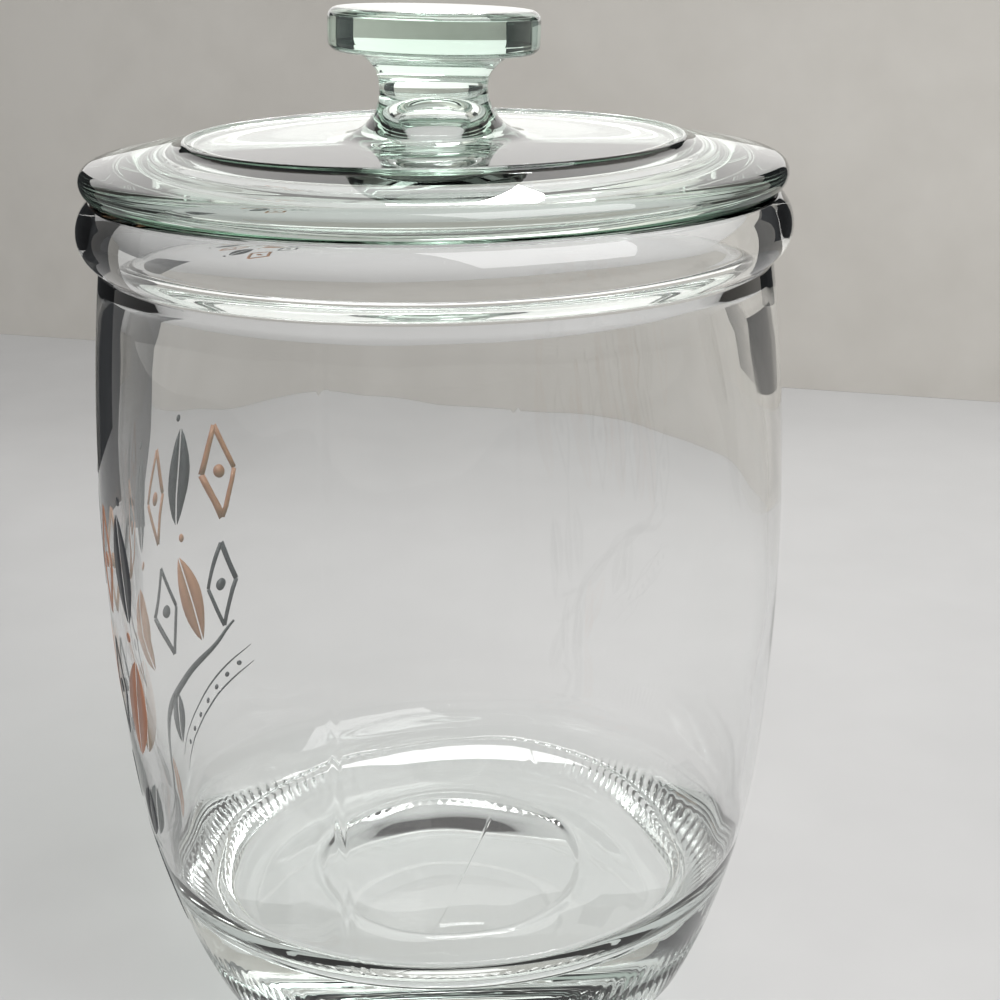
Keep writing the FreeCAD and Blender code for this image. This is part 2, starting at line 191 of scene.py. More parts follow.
class StageSizes(bpy.types.PropertyGroup):
    """The studio round the canister."""

    lens: number("Lens", 63.0, "Focal length in millimetres")
    camera_back: length("Camera back", 0.353, "Distance of the camera from the axis")
    camera_height: length("Camera height", 0.2249, "Height of the camera")
    pitch: angle("Pitch", 18.49, "How far the camera looks down")
    yaw: angle("Yaw", 1.97, "How far the camera looks to the right")
    roll: angle("Roll", -0.66, "How far the camera leans")
    wall_distance: length("Wall distance", 0.515, "Distance of the wall behind the canister")
    wall_turn: angle("Wall turn", 20.0, "How far the wall is turned")
    wall_width: length("Wall width", 4.0, "Width of the wall")
    wall_height: length("Wall height", 1.5, "Height of the wall")
    floor_width: length("Floor width", 6.0, "Width and depth of the table")
    floor_dark: colour("Floor dark", (0.535, 0.535, 0.535), "Darker colour of the table")
    floor_light: colour("Floor light", (0.58, 0.58, 0.58), "Lighter colour of the table")
    wall_dark: colour("Wall dark", (0.60, 0.575, 0.53), "Darker colour of the wall")
    wall_light: colour("Wall light", (0.68, 0.655, 0.61), "Lighter colour of the wall")
    flag_dark: colour("Flag dark", (0.02, 0.022, 0.025), "Darker colour of the cards")
    flag_light: colour("Flag light", (0.05, 0.052, 0.055), "Lighter colour of the cards")
    room_light: colour("Room light", (0.30, 0.30, 0.30), "What the room sheds on what stands in it")
    room_seen: colour("Room seen", (0.56, 0.555, 0.54), "What the room looks like")
    flag_size: length("Flag size", 0.28, "Width and height of the dark cards")
    flag_left: length("Flag left", -0.33, "Where the left card stands")
    flag_right: length("Flag right", 0.385, "Where the right card stands")
    flag_lift: length("Flag lift", 0.075, "Height of the right card's lower edge")
    flag_back: length("Flag back", 0.36, "How far behind the canister the cards stand")


# ---------------------------------------------------------------- outlines


def circles_meet(first, first_radius, second, second_radius, side):
    """Where two circles of the outline's plane cross; side 1 is left of the line from the first."""
    gap = second - first
    apart = gap.length
    along = (apart ** 2 + first_radius ** 2 - second_radius ** 2) / (2 * apart)
    across = math.sqrt(first_radius ** 2 - along ** 2)
    unit = gap / apart
    return first + unit * along + Vector((-unit.y, unit.x)) * across * side


def level_centre(side, end):
    """Centre, level with side, of the arc through both points."""
    across, up = side - end
    return Vector((side.x - (across * across + up * up) / (2 * across), side.y))


def towards(centre, point, radius):
    """The point at that radius from the centre, on the ray through the given point."""
    return centre + (point - centre).normalized() * radius


def ramp(value, low, high):
    """0 below low, 1 above high, and a smooth rise between them."""
    share = min(max((value - low) / (high - low), 0), 1)
    return share * share * (3 - 2 * share)


class HalfOutline:
    """A chain of edges in the XZ plane, drawn with one vertex that is extruded and spun.

    The vertices drawn after mark_inside carry a mark in the layer called inside.
    """

    def __init__(self, start):
        self.bm = bmesh.new()
        self.inside = self.bm.verts.layers.float.new("inside")
        self.tip = self.bm.verts.new((start[0], 0, start[1]))

    def mark_inside(self):
        self.tip[self.inside] = 1

    def here(self):
        return Vector((self.tip.co.x, self.tip.co.z))

    def line(self, end, steps=1):
        start = self.here()
        for step in range(1, steps + 1):
            point = start.lerp(Vector(end), step / steps)
            self.tip = bmesh.ops.extrude_vert_indiv(self.bm, verts=[self.tip])["verts"][0]
            self.tip.co = (point.x, 0, point.y)

    def arc(self, centre, end, steps):
        start, stop = self.here() - centre, Vector(end) - centre
        turn = math.atan2(start.x * stop.y - start.y * stop.x, start.dot(stop))
        spun = bmesh.ops.spin(
            self.bm, geom=[self.tip], cent=(centre.x, 0, centre.y), axis=(0, -1, 0),
            angle=turn, steps=steps)
        self.tip = next(part for part in spun["geom_last"] if isinstance(part, bmesh.types.BMVert))

    def turn_solid(self, steps):
        """Spin part of a turn, double it until it closes, and merge the seam and the poles."""
        bm = self.bm
        parts = 2 ** DOUBLINGS
        sweep = 2 * math.pi / parts
        bmesh.ops.spin(
            bm, geom=bm.verts[:] + bm.edges[:], cent=(0, 0, 0), axis=(0, 0, 1),
            angle=sweep, steps=steps // parts)
        for _ in range(DOUBLINGS):
            copied = bmesh.ops.duplicate(bm, geom=bm.verts[:] + bm.edges[:] + bm.faces[:])["geom"]
            corners = [part for part in copied if isinstance(part, bmesh.types.BMVert)]
            turn = Matrix.Rotation(sweep, 3, "Z")
            bmesh.ops.rotate(bm, cent=(0, 0, 0), matrix=turn, verts=corners)
            sweep *= 2
        bmesh.ops.remove_doubles(bm, verts=bm.verts[:], dist=MERGE_GAP)
        bmesh.ops.recalc_face_normals(bm, faces=bm.faces[:])
        return bm


def finish_piece(bm, name, material, slot, *nodes):
    """A smooth piece on the root body, in place of the CAD nodes named."""
    mesh = bpy.data.meshes.new(name)
    for face in bm.faces:
        face.smooth = True
    bm.to_mesh(mesh)
    bm.free()
    mesh.materials.append(material)
    piece = bpy.data.objects.new(name, mesh)
    bpy.context.scene.collection.objects.link(piece)
    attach(piece, "root")
    if nodes:
        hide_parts(*nodes)
    return piece


# ---------------------------------------------------------------- jar


def bow_centre(size):
    """Centre of the barrel's upright curve."""
    return Vector((size.belly_radius - size.belly_bow, size.belly_height))


def neck_point(size):
    """The crease below the bead, before it is rounded."""
    return Vector((size.neck_radius, size.height - size.neck_drop))


def bead_point(size):
    """The bead's widest ring."""
    return Vector((size.bead_radius, size.height - size.bead_drop))


def taper_circle(size):
    """The lower curve of the barrel: its centre, its radius and its upper end."""
    heel_centre = Vector((size.foot_radius, size.heel_radius))
    upper_centre = bow_centre(size)
    fall = size.belly_height - size.taper_height
    upper_end = upper_centre + Vector((math.sqrt(size.belly_bow ** 2 - fall ** 2), -fall))
    inward = (upper_centre - upper_end).normalized()
    back = upper_end - heel_centre
    room = size.heel_radius ** 2 - back.length_squared
    taper = room / (2 * (back.dot(inward) + size.heel_radius))
    return upper_end + inward * taper, taper, upper_end


def jar_outline(size):
    """Half the jar's section, from the axis underneath, up and over the lip, to the floor."""
    line = HalfOutline((0, size.pushup_depth))
    draw_base(line, size)
    draw_barrel(line, size)
    draw_bead(line, size)
    line.mark_inside()
    draw_inside(line, size)
    draw_floor(line, size)
    return line


def draw_base(line, size):
    """The push-up, the bearing ring and the heel."""
    depth, radius = size.pushup_depth, size.pushup_radius
    push_centre = Vector((0, (depth ** 2 - radius ** 2) / (2 * depth)))
    line.arc(push_centre, (radius, 0), 8)
    line.line((size.foot_radius, 0), 3)
    heel_centre = Vector((size.foot_radius, size.heel_radius))
    taper_centre, taper, _ = taper_circle(size)
    line.arc(heel_centre, towards(taper_centre, heel_centre, taper), 14)


def draw_barrel(line, size):
    """The wall, up to the rounded crease."""
    belly = Vector((size.belly_radius, size.belly_height))
    neck = neck_point(size)
    taper_centre, _, bow_end = taper_circle(size)
    barrel_centre = level_centre(belly, neck)
    low_centre = level_centre(bead_point(size), neck)
    barrel = belly.x - barrel_centre.x
    low = size.bead_radius - low_centre.x
    small = size.lip_round
    crease = circles_meet(barrel_centre, barrel + small, low_centre, low + small, -1)
    line.arc(taper_centre, bow_end, 16)
    line.arc(bow_centre(size), belly, 8)
    line.arc(barrel_centre, towards(barrel_centre, crease, barrel), 10)
    line.arc(crease, towards(low_centre, crease, low), 5)


def draw_bead(line, size):
    """The rolled bead and the flat lip, down to the start of the bore."""
    top = size.height
    bead = bead_point(size)
    high_centre = level_centre(bead, Vector((size.lip_radius, top)))
    high = bead.x - high_centre.x
    small = size.lip_round
    corner_up = top - small
    across = math.sqrt((high - small) ** 2 - (corner_up - high_centre.y) ** 2)
    lip_corner = Vector((high_centre.x + across, corner_up))
    mouth_corner = Vector((size.mouth_radius + small, corner_up))
    line.arc(level_centre(bead, neck_point(size)), bead, 6)
    line.arc(high_centre, towards(high_centre, lip_corner, high), 6)
    line.arc(lip_corner, (lip_corner.x, top), 3)
    line.line((mouth_corner.x, top))
    line.arc(mouth_corner, (size.mouth_radius, corner_up), 3)


def draw_inside(line, size):
    """The bore, the throat, the inner wall and the bowl that turns into the floor."""
    throat_top = size.height - size.neck_drop
    throat = Vector((size.neck_radius - size.wall, throat_top - size.throat_drop))
    inner_belly = Vector((size.belly_radius - size.wall, size.belly_height))
    inner_bow = size.belly_bow - size.wall
    wall_centre = bow_centre(size)
    floor_centre = Vector((0, size.floor_height + size.floor_bow))
    bowl_centre = circles_meet(
        floor_centre, size.floor_bow - size.bowl_radius,
        wall_centre, inner_bow - size.bowl_radius, 1)
    line.line((size.mouth_radius, throat_top), 3)
    line.line(throat, 3)
    line.arc(level_centre(inner_belly, throat), inner_belly, 10)
    line.arc(wall_centre, towards(wall_centre, bowl_centre, inner_bow), 12)
    line.arc(bowl_centre, towards(floor_centre, bowl_centre, size.floor_bow), 10)


def draw_floor(line, size):
    """The dished floor, with steps close together where its ridges rise."""
    floor_centre = Vector((0, size.floor_height + size.floor_bow))
    stops = (
        (size.edge_radius - size.edge_width * EDGE_SHARE, 6),
        (size.ring_radius + size.ring_width, 4),
        (size.ring_radius - size.ring_width, 8),
        (0, 5),
    )
    for across, steps in stops:
        drop = math.sqrt(size.floor_bow ** 2 - across ** 2)
        line.arc(floor_centre, (across, floor_centre.y - drop), steps)


def blow_jar(bm, size):
    """Give the turned jar what a mould and a blown wall leave on it."""
    inside = bm.verts.layers.float["inside"]
    floor_top = size.thicken_from / 2
    floor_edge = size.edge_radius + size.edge_width
    for vert in bm.verts:
        place = vert.co.copy()
        across = math.hypot(place.x, place.y)
        if across < MERGE_GAP:
            continue
        outward = Vector((place.x, place.y, 0)) / across
        if not vert[inside]:
            mark_outside(vert, place, outward, size)
        elif place.z < floor_top and across < floor_edge:
            lift_floor(vert, place, size)
        else:
            wave_wall(vert, place, outward, size)
    return bm


def lift_floor(vert, place, size):
    """Raise the floor's two ridges, and let the floor swell."""
    across = math.hypot(place.x, place.y)
    wobble = across + size.swell * 2 * noise.noise(place * RIDGE_NOISE)
    ridges = ((size.ring_radius, size.ring_width, size.ring_rise),
              (size.edge_radius, size.edge_width, size.edge_rise))
    for radius, width, rise in ridges:
        gap = (wobble - radius) / width
        if abs(gap) < 1:
            vert.co.z += rise * (1 + math.cos(math.pi * gap)) / 2
    fade = 1 - ramp(across, size.ring_radius, size.foot_radius)
    vert.co.z += size.swell * noise.noise(place * FLOOR_NOISE) * fade


def wave_wall(vert, place, outward, size):
    """Lean the inner wall in towards the mouth, and let it swell above the floor."""
    throat_top = size.height - size.neck_drop
    throat = throat_top - size.throat_drop
    fade = 1 - ramp(place.z, throat, throat_top)
    rise = ramp(place.z, size.floor_height, size.heel_radius + size.floor_height * 2)
    wave = sum(noise.noise(place * scale) * share for scale, share in WALL_NOISES)
    lean = size.thicken * ramp(place.z, size.thicken_from, throat)
    vert.co -= outward * fade * (lean + size.swell * wave * rise)


def mark_outside(vert, place, outward, size):
    """Sink the grooves between the heel's ribs, and raise the mould seam."""
    ends = (size.rib_high - size.rib_low) * RIB_FADE
    low = ramp(place.z, size.rib_low, size.rib_low + ends)
    grooved = low * (1 - ramp(place.z, size.rib_high - ends, size.rib_high))
    turn = math.atan2(place.y, place.x)
    vert.co -= outward * size.rib_depth * grooved * (1 - math.cos(HEEL_RIBS * turn)) / 2
    seam = Vector((math.sin(size.seam_turn), -math.cos(size.seam_turn), 0))
    if abs(place.dot(seam)) < SEAM_REACH:
        across = math.hypot(place.x, place.y)
        if size.rib_high < place.z < size.height - size.neck_drop:
            vert.co += outward * size.seam_rise
        elif across < size.pushup_radius * SEAM_SHARE and place.z < size.rib_low:
            vert.co.z -= size.seam_rise


# ---------------------------------------------------------------- lid


def lid_outline(size):
    """Half the lid's section, from the axis inside the dimple to the axis on the knob."""
    line = HalfOutline(on_seat(0, size.dimple_height))
    draw_underside(line, size)
    draw_rim(line, size)
    draw_crown(line, size)
    draw_knob(line, size)
    return line


def on_seat(across, up):
    """A point of the outline, at a height above the lid's seat."""
    return Vector((across, JAR_HIGH[2] + up))


def draw_underside(line, size):
    """The dimple, the ceiling and the ring that hangs into the mouth."""
    soft = size.soft
    dimple = size.dimple_radius
    spring = size.dimple_height - dimple
    ceiling = size.shoulder_height - size.thickness
    ring_in = size.plug_radius - size.plug_width
    ring_out = size.plug_radius
    low = -size.plug_depth
    line.arc(on_seat(0, spring), on_seat(dimple, spring), 10)
    line.line(on_seat(dimple, ceiling + soft), 2)
    line.arc(on_seat(dimple + soft, ceiling + soft), on_seat(dimple + soft, ceiling), 5)
    line.line(on_seat(ring_in, ceiling), 12)
    line.line(on_seat(ring_in, low + soft), 3)
    line.arc(on_seat(ring_in + soft, low + soft), on_seat(ring_in + soft, low), 5)
    line.line(on_seat(ring_out - soft, low), 2)
    line.arc(on_seat(ring_out - soft, low + soft), on_seat(ring_out, low + soft), 5)
    line.line((ring_out, JAR_HIGH[2] + size.seat_gap), 2)


def draw_rim(line, size):
    """The face that lies on the lip, the rim, the slope and the shoulder's raised line."""
    rim_in = size.radius - size.rim_height
    rim_centre = on_seat(size.radius - size.rim_round, size.rim_height)
    shoulder = on_seat(size.shoulder_radius, size.shoulder_height)
    rise = shoulder - rim_centre
    lean = math.atan2(rise.y, rise.x) - math.acos(size.rim_round / rise.length)
    slope_start = rim_centre + Vector((math.cos(lean), math.sin(lean))) * size.rim_round
    line.line((rim_in, JAR_HIGH[2] + size.seat_gap), 3)
    line.arc(on_seat(rim_in, size.rim_height), on_seat(size.radius, size.rim_height), 8)
    line.arc(rim_centre, slope_start, 8)
    line.line(shoulder + (slope_start - shoulder).normalized() * size.ridge, 8)
    line.arc(shoulder, shoulder + Vector((0, size.ridge)), 4)
    line.arc(shoulder, shoulder - Vector((size.ridge, 0)), 4)


def draw_crown(line, size):
    """The crown and the stem, up to the knob's underside."""
    crown = (size.shoulder_radius ** 2 + size.crown ** 2) / (2 * size.crown)
    crown_centre = on_seat(0, size.shoulder_height + size.crown - crown)
    waist = on_seat(size.stem_radius, size.waist_height)
    lift = waist.y - crown_centre.y
    reach = size.stem_radius ** 2 + lift ** 2 - crown ** 2
    sweep_centre = waist + Vector((reach / (2 * (crown - size.stem_radius)), 0))
    flare = size.knob_height - size.waist_height
    line.arc(crown_centre, towards(crown_centre, sweep_centre, crown), 12)
    line.arc(sweep_centre, waist, 10)
    line.arc(waist + Vector((flare, 0)), waist + Vector((flare, flare)), 10)


def draw_knob(line, size):
    """The disc of the knob, with both its edges rounded."""
    edge = size.knob_round
    flat_end = size.knob_radius - edge
    low, high = size.knob_height + edge, size.top - edge
    line.line(on_seat(flat_end, size.knob_height), 2)
    line.arc(on_seat(flat_end, low), on_seat(size.knob_radius, low), 6)
    line.line(on_seat(size.knob_radius, high), 3)
    line.arc(on_seat(flat_end, high), on_seat(flat_end, size.top), 6)
    line.line(on_seat(0, size.top), 8)


def lean_knob(bm, size):
    """Lean the knob, as a hot knob does on its stem."""
    waist = JAR_HIGH[2] + size.waist_height
    foot = Matrix.Translation((0, 0, waist))
    for vert in bm.verts:
        share = ramp(vert.co.z, waist + BEND_LOW, waist + BEND_HIGH)
        if share:
            lean = Matrix.Rotation(size.lean * share, 4, "Y")
            vert.co = foot @ lean @ foot.inverted() @ vert.co
    return bm


# ---------------------------------------------------------------- print


# Angles of the print are in degrees, from +Y towards -X; its heights and widths are in metres.
PRINT_TURNS = [51.5 + 9.6 * number for number in range(8)]

Row = namedtuple("Row", "middle width height line foot tip lean leaf_width dot_up dot_radius")
UPPER_ROW = Row(middle=0.104, width=0.0095, height=0.022, line=0.0015, foot=0.095, tip=0.1165,
                lean=-1, leaf_width=0.0075, dot_up=0.1195, dot_radius=0.0009)
LOWER_ROW = Row(middle=0.0765, width=0.009, height=0.021, line=0.0012, foot=0.065, tip=0.087,
                lean=2, leaf_width=0.0085, dot_up=0.0915, dot_radius=0.0010)

STALK_POINTS = ((49, 0.0665), (56, 0.0615), (66, 0.0590), (78, 0.0545),
                (90, 0.0480), (101, 0.0430), (112, 0.0400))
STALK_WIDTH = 0.0024
STALK_END = 0.25            # of the width, at both ends
HANGING_LEAVES = ((72, 0.0565, 3, -0.012), (98, 0.0440, 4, -0.016), (108, 0.0400, 5, -0.018))
HANGING_WIDTH = 0.0075
STANDING_LEAVES = ((102, 0.0465, 4, 0.013), (113, 0.0440, 4, 0.013))
STANDING_WIDTH = 0.006
COPPER_LEAF = (88, 0.0465, 7, -0.012)
COPPER_WIDTH = 0.0065

BAND_POINTS = ((46, 0.0590), (54, 0.0545), (64, 0.0490), (76, 0.0415))
BAND_DROPS = (0, 0.0048)
BAND_WIDTH = 0.0006
BAND_DOTS = 7
BAND_DOT_START = (49.5, 0.0547)
BAND_DOT_STEP = (3.4, 0.00205)
BAND_DOT_RADIUS = 0.0007

LEAF_VEIN = 0.0003          # half the width of the bare vein
LEAF_TIP = 0.0001           # width of each half at its ends
LEAF_FULLNESS = 0.8
LOZENGE_DOT = 0.17          # of the lozenge's width
DOT_END = 0.05              # of the dot's radius


class Print:
    """Flat shapes laid on the barrel."""

    def __init__(self, jar):
        self.bm = bmesh.new()
        self.belly = jar.belly_radius
        high_centre = level_centre(Vector((self.belly, jar.belly_height)), neck_point(jar))
        low_centre, low_bow, low_top = taper_circle(jar)
        self.curves = (
            (low_top.y, low_centre, low_bow),
            (jar.belly_height, bow_centre(jar), jar.belly_bow),
            (jar.height, high_centre, self.belly - high_centre.x),
        )

    def reach(self, up):
        """How far out the barrel's wall is at a height."""
        centre, bow = next((centre, bow) for top, centre, bow in self.curves if up <= top)
        return centre.x + math.sqrt(bow * bow - (up - centre.y) ** 2)

    def flat(self, turn, up):
        """The point of the unrolled wall at a turn and a height."""
        return Vector((math.radians(turn) * self.belly, up))

    def on_wall(self, flat, lift):
        """Where a point of the unrolled wall lies on the barrel, lifted off it."""
        turn = flat.x / self.belly
        reach = self.reach(flat.y) + lift
        return Vector((-math.sin(turn), math.cos(turn), 0)) * reach + Vector((0, 0, flat.y))

    def strip(self, spine, left, right):
        """A closed film along a spine, between offsets to its left and right."""
        count = len(spine)
        sheet = bmesh.new()
        bmesh.ops.create_grid(sheet, x_segments=count - 1, y_segments=1, size=1)
        order = sorted(sheet.verts, key=lambda vert: (round(vert.co.x, 5), vert.co.y))
        pairs = zip(order[0::2], order[1::2])
        for number, (point, pair) in enumerate(zip(spine, pairs)):
            ahead = spine[min(number + 1, count - 1)] - spine[max(number - 1, 0)]
            side = Vector((-ahead.y, ahead.x)).normalized()
            for vert, offset in zip(pair, (-right[number], left[number])):
                vert.co = self.on_wall(point + side * offset, PRINT_LIFT)
        film = bmesh.ops.extrude_face_region(sheet, geom=sheet.faces[:])["geom"]
        for vert in (part for part in film if isinstance(part, bmesh.types.BMVert)):
            across = math.hypot(vert.co.x, vert.co.y)
            vert.co.xy *= (across - PRINT_DEPTH) / across
        bmesh.ops.recalc_face_normals(sheet, faces=sheet.faces[:])
        mesh = bpy.data.meshes.new("film")
        sheet.to_mesh(mesh)
        sheet.free()
        self.bm.from_mesh(mesh)
        bpy.data.meshes.remove(mesh)

    def line(self, start, end, width, steps=4):
        spine = [start.lerp(end, step / steps) for step in range(steps + 1)]
        half = [width / 2] * (steps + 1)
        self.strip(spine, half, half)

    def leaf(self, foot, tip, width, steps=12):
        """Two halves of a pointed leaf, with a bare vein between them."""
        spine = [foot.lerp(tip, step / steps) for step in range(steps + 1)]
        swell = [math.sin(math.pi * step / steps) ** LEAF_FULLNESS for step in range(steps + 1)]
        outer = [LEAF_VEIN + LEAF_TIP + width / 2 * share for share in swell]
        inner = [-LEAF_VEIN] * (steps + 1)
        self.strip(spine, outer, inner)
        self.strip(spine, inner, outer)

    def leaves(self, feet, width):
        """A leaf from each foot, given as its turn and height and the way to its tip."""
        for turn, up, onward, rise in feet:
            self.leaf(self.flat(turn, up), self.flat(turn + onward, up + rise), width)

    def lozenge(self, centre, width, height, line):
        """A diamond drawn with a line, with a dot in it."""
        up, out = Vector((0, height / 2)), Vector((width / 2, 0))
        corners = [centre + step for step in (up, out, -up, -out, up)]
        for start, end in zip(corners, corners[1:]):
            self.line(start, end, line)
        self.dot(centre, width * LOZENGE_DOT)

    def dot(self, centre, radius, steps=10):
        turns = [math.pi * step / steps for step in range(steps + 1)]
        spine = [centre + Vector((radius * -math.cos(turn), 0)) for turn in turns]
        half = [max(radius * math.sin(turn), radius * DOT_END) for turn in turns]
        self.strip(spine, half, half)

    def stalk(self, points, width, steps=10):
        """A swelling stroke through the points, drawn as a smooth curve."""
        points = [self.flat(turn, up) for turn, up in points]
        spine = []
        ends = [points[0] * 2 - points[1], *points, points[-1] * 2 - points[-2]]
        for before, start, end, after in zip(ends, ends[1:], ends[2:], ends[3:]):
            for step in range(steps):
                share = step / steps
                near = start * 2 + (end - before) * share
                bend = (before * 2 - start * 5 + end * 4 - after) * share ** 2
                twist = (start * 3 - before - end * 3 + after) * share ** 3
                spine.append((near + bend + twist) / 2)
        spine.append(points[-1])
        last = len(spine) - 1
        swell = [math.sin(math.pi * step / last) for step in range(last + 1)]
        half = [width / 2 * (STALK_END + (1 - STALK_END) * share) for share in swell]
        self.strip(spine, half, half)

    def row_lozenges(self, row):
        for turn in PRINT_TURNS[0::2]:
            self.lozenge(self.flat(turn, row.middle), row.width, row.height, row.line)

    def row_leaves(self, row):
        for turn in PRINT_TURNS[1::2]:
            foot = self.flat(turn - row.lean, row.foot)
            self.leaf(foot, self.flat(turn + row.lean, row.tip), row.leaf_width)
            self.dot(self.flat(turn, row.dot_up), row.dot_radius)

    def band(self):
        """A double line with dots along it."""
        for drop in BAND_DROPS:
            self.stalk([(turn, up - drop) for turn, up in BAND_POINTS], BAND_WIDTH)
        (turn, up), (onward, fall) = BAND_DOT_START, BAND_DOT_STEP
        for number in range(BAND_DOTS):
            place = self.flat(turn + number * onward, up - number * fall)
            self.dot(place, BAND_DOT_RADIUS)


def copper_print(jar):
    art = Print(jar)
    art.row_lozenges(UPPER_ROW)
    art.row_leaves(LOWER_ROW)
    art.leaves([COPPER_LEAF], COPPER_WIDTH)
    return art.bm


def charcoal_print(jar):
    art = Print(jar)
    art.row_leaves(UPPER_ROW)
    art.row_lozenges(LOWER_ROW)
    art.stalk(STALK_POINTS, STALK_WIDTH)
    art.leaves(HANGING_LEAVES, HANGING_WIDTH)
    art.leaves(STANDING_LEAVES, STANDING_WIDTH)
    art.band()
    return art.bm


# ---------------------------------------------------------------- materials


MOTTLE_FINER = 9.0          # how much finer the mottle's second scale is
MOTTLE_MIX = 0.35           # share of that second scale
MOTTLE_DETAIL = 3.0
MOTTLE_SPREAD = (0.35, 0.65)
GLASS_IOR = 1.52
GLASS_SHADOW = (0.93, 0.94, 0.935, 1)


def mottle_group():
    """Node group: a soft, two-scale mottle, as a value round one half."""
    group = bpy.data.node_groups.get("mottle")
    if group:
        return group
    group = bpy.data.node_groups.new("mottle", "ShaderNodeTree")
    group.interface.new_socket(name="Scale", in_out="INPUT", socket_type="NodeSocketFloat")
    group.interface.new_socket(name="Value", in_out="OUTPUT", socket_type="NodeSocketFloat")
    nodes, links = group.nodes, group.links
    entry = nodes.new("NodeGroupInput")
    leave = nodes.new("NodeGroupOutput")
    place = nodes.new("ShaderNodeTexCoord")
    finer = nodes.new("ShaderNodeMath")
    finer.operation = "MULTIPLY"
    finer.inputs[1].default_value = MOTTLE_FINER
    links.new(entry.outputs["Scale"], finer.inputs[0])
    mix = nodes.new("ShaderNodeMix")
    mix.inputs["Factor"].default_value = MOTTLE_MIX
    for scale, socket in ((entry.outputs["Scale"], "A"), (finer.outputs[0], "B")):
        cloud = nodes.new("ShaderNodeTexNoise")
        cloud.inputs["Detail"].default_value = MOTTLE_DETAIL
        links.new(place.outputs["Object"], cloud.inputs["Vector"])
        links.new(scale, cloud.inputs["Scale"])
        links.new(cloud.outputs["Fac"], mix.inputs[socket])
    links.new(mix.outputs["Result"], leave.inputs["Value"])
    return group


def colour_mix(tree, first, second):
    """A mix of two colours: its factor socket and its colour output."""
    blend = tree.nodes.new("ShaderNodeMix")
    blend.data_type = "RGBA"
    sockets = [socket for socket in blend.inputs if socket.type == "RGBA"]
    for socket, tone in zip(sockets, (first, second)):
        socket.default_value = (*tone, 1)
    result = next(socket for socket in blend.outputs if socket.type == "RGBA")
    return blend.inputs[0], result


def glass(name, tint, density):
    """Clear glass whose shadow is light, with the tint that its thickness gives."""
    material = bpy.data.materials.new(name)
    material.use_nodes = True
    tree = material.node_tree
    nodes, links = tree.nodes, tree.links
    shader = nodes["Principled BSDF"]
    shader.inputs["Base Color"].default_value = (1, 1, 1, 1)
    shader.inputs["Roughness"].default_value = 0.0
    shader.inputs["IOR"].default_value = GLASS_IOR
    shader.inputs["Transmission Weight"].default_value = 1.0
    path = nodes.new("ShaderNodeLightPath")
    clear = nodes.new("ShaderNodeBsdfTransparent")
    clear.inputs["Color"].default_value = GLASS_SHADOW
    mix = nodes.new("ShaderNodeMixShader")
    output = nodes["Material Output"]
    links.new(path.outputs["Is Shadow Ray"], mix.inputs["Fac"])
    links.new(shader.outputs["BSDF"], mix.inputs[1])
    links.new(clear.outputs["BSDF"], mix.inputs[2])
    links.new(mix.outputs["Shader"], output.inputs["Surface"])
    absorb = nodes.new("ShaderNodeVolumeAbsorption")
    absorb.inputs["Color"].default_value = (*tint, 1)
    absorb.inputs["Density"].default_value = density
    links.new(absorb.outputs["Volume"], output.inputs["Volume"])
    return material


def mottled(name, dark, light, scale, roughness):
    """A matt surface that varies between two near colours."""
    material = bpy.data.materials.new(name)
    material.use_nodes = True
    tree = material.node_tree
    nodes, links = tree.nodes, tree.links
    shader = nodes["Principled BSDF"]
    cloud = nodes.new("ShaderNodeGroup")
    cloud.node_tree = mottle_group()
    cloud.inputs["Scale"].default_value = scale
    spread = nodes.new("ShaderNodeMapRange")
    for socket, value in zip(("From Min", "From Max"), MOTTLE_SPREAD):
        spread.inputs[socket].default_value = value
    factor, result = colour_mix(tree, dark, light)
    links.new(cloud.outputs["Value"], spread.inputs["Value"])
    links.new(spread.outputs["Result"], factor)
    links.new(result, shader.inputs["Base Color"])
    shader.inputs["Roughness"].default_value = roughness
    return material


# ---------------------------------------------------------------- operators


class CANISTER_OT_jar(bpy.types.Operator):
    """Turn the jar, open at the top"""

    bl_idname = "canister.jar"
    bl_label = "Jar"

    def execute(self, context):
        size = context.scene.canister_jar
        bm = blow_jar(jar_outline(size).turn_solid(JAR_STEPS), size)
        material = glass("jar_glass", size.tint, size.density)
        finish_piece(bm, "jar_clear", material, "jar_glass", "jar").visible_diffuse = False
        return {"FINISHED"}


class CANISTER_OT_lid(bpy.types.Operator):
    """Turn the lid with its knob"""

    bl_idname = "canister.lid"
    bl_label = "Lid"

    def execute(self, context):
        size = context.scene.canister_lid
        bm = lean_knob(lid_outline(size).turn_solid(LID_STEPS), size)
        material = glass("lid_glass", size.tint, size.density)
        finish_piece(bm, "lid_clear", material, "lid_glass", "lid").visible_diffuse = False
        return {"FINISHED"}


class CANISTER_OT_print(bpy.types.Operator):
    """Lay the fired print on the barrel"""

    bl_idname = "canister.print"
    bl_label = "Print"

    def execute(self, context):
        jar = context.scene.canister_jar
        look = context.scene.canister_print
        finish = (look.mottle, look.roughness)
        copper = mottled("print_copper", look.copper_dark, look.copper_light, *finish)
        charcoal = mottled("print_charcoal", look.charcoal_dark, look.charcoal_light, *finish)
        finish_piece(copper_print(jar), "print_copper", copper, "print_copper")
        finish_piece(charcoal_print(jar), "print_charcoal", charcoal, "print_charcoal")
        return {"FINISHED"}


# ---------------------------------------------------------------- stage


QUARTER = math.radians(90)
SENSOR_WIDTH = 36           # millimetres

